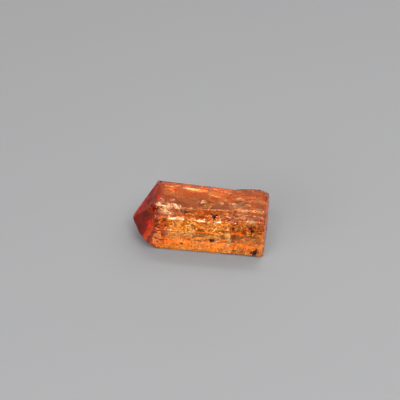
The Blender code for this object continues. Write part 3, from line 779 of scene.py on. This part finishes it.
def drifted(skin, drifts, rng, look):
    # specks by chance: a face of the skin is drawn by area and clump, and the speck lies under it
    places, sizes, stretches = [], [], []
    x, arc = skin["centre"][:, 0], skin["angle"] * look["arcPerDegree"]
    clump = noise(x / look["clumpLong"], arc / look["clumpTall"], 6)
    clump = clump + look["patchShare"] * noise(x / look["patchLong"], arc / look["patchTall"], 7)
    clump = look["between"] + soft(look["clumpLow"], look["clumpHigh"], clump)
    for startX, stopX, startAngle, stopAngle, count, small, large, near, deep, stretch in drifts:
        turn = (skin["angle"] - startAngle) % 360.0
        weight = skin["area"] * (x > startX) * (x < stopX) * (turn < stopAngle - startAngle) * clump
        spot = rng.choice(len(weight), count, p=weight / weight.sum())
        out = skin["normal"][spot]
        size = small + (large - small) * rng.uniform(0, 1, count) ** look["smallPower"]
        depth = near + (deep - near) * rng.uniform(0, 1, count) ** look["nearPower"]
        depth = depth + look["sizeSink"] * size
        jitter = rng.normal(0, look["jitter"], (count, 3))
        jitter -= (jitter * out).sum(-1, keepdims=True) * out
        place = skin["centre"][spot] - out * depth[:, None] + jitter
        # under the faces of the point and the end nothing is drawn out
        drawn = np.where(np.abs(out[:, 0]) > 0.4, 1.0, stretch)
        tip = (size * drawn)[:, None] * np.array([1.0, 0.0, 0.0])
        inside = np.minimum(depthInside(place - tip, crystalShape),
                            depthInside(place + tip, crystalShape))
        keep = inside > size + look["tipGap"]
        places.append(place[keep])
        sizes.append(size[keep])
        stretches.append(drawn[keep])
    return np.concatenate(places), np.concatenate(sizes), np.concatenate(stretches)


def depthInside(points, shape):
    # how far a point lies under the nearest face of the crystal
    local = points - np.array([0.0, 0.0, shape["axisHeight"]])
    depths = []
    for rows in (shape["longFaces"], shape["shortFaces"]):
        faces = np.array([row[:3] for row in rows])
        reach = faces[:, 1] - faces[:, 2] * local[:, :1]
        depths.append((reach - local @ looking(faces[:, 0]).T).min(-1))
    depth = np.where(local[:, 0] < shape["crackX"], depths[0], depths[1])
    for rows, toward in ((shape["pointFaces"], -1.0), (shape["endFaces"], 1.0)):
        normals, reach = cutFaces(rows, toward)
        depth = np.minimum(depth, (reach - local @ normals.T).min(-1))
    return depth


def clearOfGrains(points, sizes, grains, reach, look):
    # true where a speck hides no grain, seen along the sight line
    way = unit(np.array(look["sightLine"]))
    gap = grains[None] - points[:, None]
    along = gap @ way
    off = np.linalg.norm(gap - along[..., None] * way, axis=-1)
    hiding = off < reach + look["sightWide"] * sizes[:, None] + look["sightGap"]
    return ~((along > -look["sightBack"]) & hiding).any(-1)


def sheetSpecks(sheets, rng, look):
    # places on gently bent sheets with ragged borders, thinning toward the border
    places, sizes = [], []
    for middle, facing, (long, tall), count in sheets:
        facing = unit(np.array(facing))
        right = unit(np.cross((0.0, 0.0, 1.0), facing))
        up = np.cross(facing, right)
        u, v = rng.normal(0, 0.5, (2, count * 2))
        bend = look["sheetBend"] * noise(u * 1.3 + 5, v * 1.3, count)
        bend = bend + look["sheetDepth"] * rng.normal(0, 0.3, u.shape)
        place = np.array(middle) + (u * long)[:, None] * right + (v * tall)[:, None] * up
        place = place + bend[:, None] * facing
        size = rng.uniform(0.03, 0.1, len(place)) * rng.choice([1.0, 1.0, 1.6], len(place))
        ragged = noise(u * 2.2, v * 2.2, count + 1) > -0.25
        keep = (depthInside(place, crystalShape) > size + look["margin"]) & ragged
        places.append(place[keep][:count])
        sizes.append(size[keep][:count])
    places, sizes = np.concatenate(places), np.concatenate(sizes)
    return places, sizes, np.ones(len(sizes))


def speckSurface(places, sizes, stretches, rng, skin, look):
    # each speck is a six-sided double cone: flattened, uneven, turned by chance, drawn out along
    # X; those with a corner through the skin are left out
    turn = np.linspace(0, 2 * np.pi, 6, endpoint=False)
    rim = np.stack([np.cos(turn), np.sin(turn), 0 * turn], -1)
    form = np.concatenate([rim, [[0, 0, 1.0], [0, 0, -1.0]]])
    tris = np.concatenate([fan(6, np.arange(6))[:, [1, 2, 0]], fan(7, np.arange(6))[:, ::-1]])
    count = len(places)
    axisA = unit(rng.normal(size=(count, 3)))
    axisB = unit(np.cross(axisA, rng.normal(size=(count, 3))))
    spin = np.stack([axisA, axisB, np.cross(axisA, axisB)], 1)
    uneven = 1.0 + look["wobble"] * rng.uniform(-1, 1, (count, len(form), 1))
    scale = sizes[:, None, None] * np.array([1.0, 0.75, look["flatness"]])
    offset = (form * scale * uneven) @ spin
    offset[..., 0] *= stretches[:, None]
    corners = (places[:, None] + offset).reshape(-1, 3)
    covered = np.minimum(underSkin(corners, skin, look["slab"]), depthInside(corners, crystalShape))
    covered = covered.reshape(count, -1).min(1) > look["cover"]
    corners = corners.reshape(count, -1, 3)[covered]
    tris = tris[None] + len(form) * np.arange(len(corners))[:, None, None]
    return corners.reshape(-1, 3), np.zeros((0, 4)), tris.reshape(-1, 3)


def grainSurface(places, ways, rows, skin, look):
    # lumpy grains: balls of rings whose radius wanders by chance, squeezed and turned about Y;
    # those that reach through the skin sink until they are covered
    count = len(rows)
    rng = np.random.default_rng(30 + count)
    around, down = 12, 7
    theta = np.linspace(0, 2 * np.pi, around, endpoint=False)[None]
    phi = np.linspace(0, np.pi, down + 2)[1:-1, None]
    ball = np.stack([np.sin(phi) * np.cos(theta), np.sin(phi) * np.sin(theta),
                     np.cos(phi) + 0 * theta], -1)
    ball = np.concatenate([ball.reshape(-1, 3), [[0, 0, 1.0], [0, 0, -1.0]]])
    along, tall, turn = rows[:, 3], rows[:, 4], np.radians(rows[:, 5])
    thick = np.minimum(look["grainThick"] * (along + tall), look["grainMost"])
    scale = np.stack([along, thick, tall], -1)[:, None]
    uneven = 1.0 + look["grainWobble"] * rng.uniform(-1, 1, (count, len(ball), 1))
    x, y, z = np.moveaxis(ball * scale * uneven, -1, 0)
    across, up = np.cos(turn)[:, None], np.sin(turn)[:, None]
    points = places[:, None] + np.stack([across * x + up * z, y, across * z - up * x], -1)
    covered = underSkin(points.reshape(-1, 3), skin, look["slab"]).reshape(count, -1).min(1)
    points -= ways[:, None] * np.maximum(look["grainCover"] - covered, 0.0)[:, None, None]
    base = len(ball) * np.arange(count)[:, None, None]
    index = np.arange(around * down).reshape(down, around)
    after = np.roll(index, -1, 1)
    quads = base[..., None] + np.stack([index[:-1], index[1:], after[1:], after[:-1]], -1)[None]
    fans = np.concatenate([fan(index.size, index[0]), fan(index.size + 1, index[-1])[:, [0, 2, 1]]])
    return points.reshape(-1, 3), quads.reshape(-1, 4), (base + fans[None]).reshape(-1, 3)


def mineralMaterial(name, first, second, roughness, waves):
    # dull mineral mottled by noise; next to no gloss, because it meets crystal and not air
    book = MaterialBook(name)
    shade = book.mixed(book.noise(waves, 3.0, 0.6).ramp(0.4, 0.62), first, second)
    body = book.node("BsdfPrincipled", {}, {
        "Base Color": shade, "Roughness": roughness, "Specular IOR Level": 0.02,
        "Normal": book.bump(book.noise(5000.0, 2.0), 0.00005, 0.6)})
    return book.finish(body)


def joined(surfaces):
    # surfaces in one: face numbers move up by the points before them
    points, quads, tris, base = [], [], [], 0
    for places, fours, threes in surfaces:
        points.append(places)
        quads.append(fours + base)
        tris.append(threes + base)
        base += len(places)
    return np.concatenate(points), np.concatenate(quads), np.concatenate(tris)


insideRng = np.random.default_rng(5)
skin = skinOf(crystal)
grains = np.array(grainPlaces)
grainSpots, grainWays = underSpots(skin, grains)
for name, finish in speckFinish.items():
    surfaces = []
    if name in ("dark_grains", "rusty_grains"):
        kind = grains[:, 6] == (name == "rusty_grains")
        surfaces.append(grainSurface(grainSpots[kind], grainWays[kind], grains[kind],
                                     skin, insideLook))
    if name == "healed_cracks":
        specks = sheetSpecks(veilSheets, insideRng, insideLook)
    else:
        specks = drifted(skin, speckDrifts[name], insideRng, insideLook)
    if not surfaces:
        keep = clearOfGrains(specks[0], specks[1], grainSpots, grains[:, 3:5].max(-1), insideLook)
        specks = [part[keep] for part in specks]
    surfaces.append(speckSurface(*specks, insideRng, skin, insideLook))
    piece = meshPiece(name, *joined(surfaces))
    piece.data.materials.append(mineralMaterial(name, *finish))
    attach(piece, "root")
    say(f"{name}, {len(piece.data.polygons)} faces")


# Table, lamps and camera

tableLook = dict(
    halfSize=900.0, top=-0.03,
    first=(0.071, 0.071, 0.072), second=(0.068, 0.068, 0.07), waves=9.0, roughness=0.75,
)


def tableMaterial(look):
    # matte grey, faintly clouded
    book = MaterialBook("pale_table")
    colour = book.mixed(book.noise(look["waves"]), look["first"], look["second"])
    body = book.node("BsdfPrincipled", {}, {"Base Color": colour,
                                                      "Roughness": look["roughness"]})
    return book.finish(body)


half, top = tableLook["halfSize"], tableLook["top"]
corners = np.array([(-half, -half, top), (half, -half, top), (half, half, top), (-half, half, top)])
table = meshPiece("pale_table", corners, np.array([[0, 1, 2, 3]]), np.zeros((0, 3)))
table.data.materials.append(tableMaterial(tableLook))

# rectangular lamps: azimuth (0 is the front), elevation, distance, width, height, brightness
lampLooks = dict(
    lamp_key=(100, 62, 0.6, 0.62, 0.62, 4.4),
    lamp_sheen=(172, 77, 0.6, 0.4, 0.06, 22.0),
    lamp_behind=(182, 21, 0.5, 0.6, 0.11, 1.4),
    lamp_front=(12, 56, 0.7, 0.66, 0.32, 20.0),
    lamp_low=(-32, 22, 0.7, 0.6, 0.32, 12.0),
)
worldLook = dict(brightness=0.18)


def wayTo(azimuth, elevation):
    # the unit vector from the crystal to a place at that azimuth and elevation
    a, e = math.radians(azimuth), math.radians(elevation)
    return Vector((math.sin(a) * math.cos(e), -math.cos(a) * math.cos(e), math.sin(e)))


def addLamp(name, azimuth, elevation, distance, width, height, brightness):
    away = wayTo(azimuth, elevation)
    lamp = bpy.data.lights.new(name, "AREA")
    lamp.shape, lamp.size, lamp.size_y = "RECTANGLE", width, height
    lamp.energy = brightness * 4.0 * width * height
    holder = bpy.data.objects.new(name, lamp)
    holder.location = away * distance + Vector((0, 0, crystalShape["axisHeight"] * mm))
    holder.rotation_euler = away.to_track_quat("Z", "Y").to_euler()
    bpy.context.scene.collection.objects.link(holder)


for name, row in lampLooks.items():
    addLamp(name, *row)
world = bpy.data.worlds.new("studio_air")
world.use_nodes = True
background = world.node_tree.nodes["Background"]
background.inputs["Color"].default_value = (1.0, 1.0, 1.0, 1.0)
background.inputs["Strength"].default_value = worldLook["brightness"]
bpy.context.scene.world = world

cameraLook = dict(
    azimuth=5.85, elevation=38.97, roll=2.04, distance=162.75,
    target=(-0.42, 2.36, 6.4), lens=85.0, sensor=36.0, nearest=0.005, farthest=20.0,
)


def addCamera(look):
    # looks at the target from an azimuth and elevation, then leans by the roll
    azimuth, roll = math.radians(look["azimuth"]), math.radians(look["roll"])
    back = wayTo(look["azimuth"], look["elevation"])
    right = Vector((math.cos(azimuth), math.sin(azimuth), 0.0))
    up = back.cross(right)
    leaningRight = math.cos(roll) * right + math.sin(roll) * up
    leaningUp = math.cos(roll) * up - math.sin(roll) * right
    data = bpy.data.cameras.new("photo_camera")
    data.lens, data.sensor_width = look["lens"], look["sensor"]
    data.clip_start, data.clip_end = look["nearest"], look["farthest"]
    holder = bpy.data.objects.new("photo_camera", data)
    spin = Matrix((leaningRight, leaningUp, back)).transposed().to_4x4()
    place = (Vector(look["target"]) + back * look["distance"]) * mm
    holder.matrix_world = Matrix.Translation(place) @ spin
    bpy.context.scene.collection.objects.link(holder)
    bpy.context.scene.camera = holder


addCamera(cameraLook)
bpy.context.scene.view_settings.view_transform = "Standard"
say("table, lamps and camera")
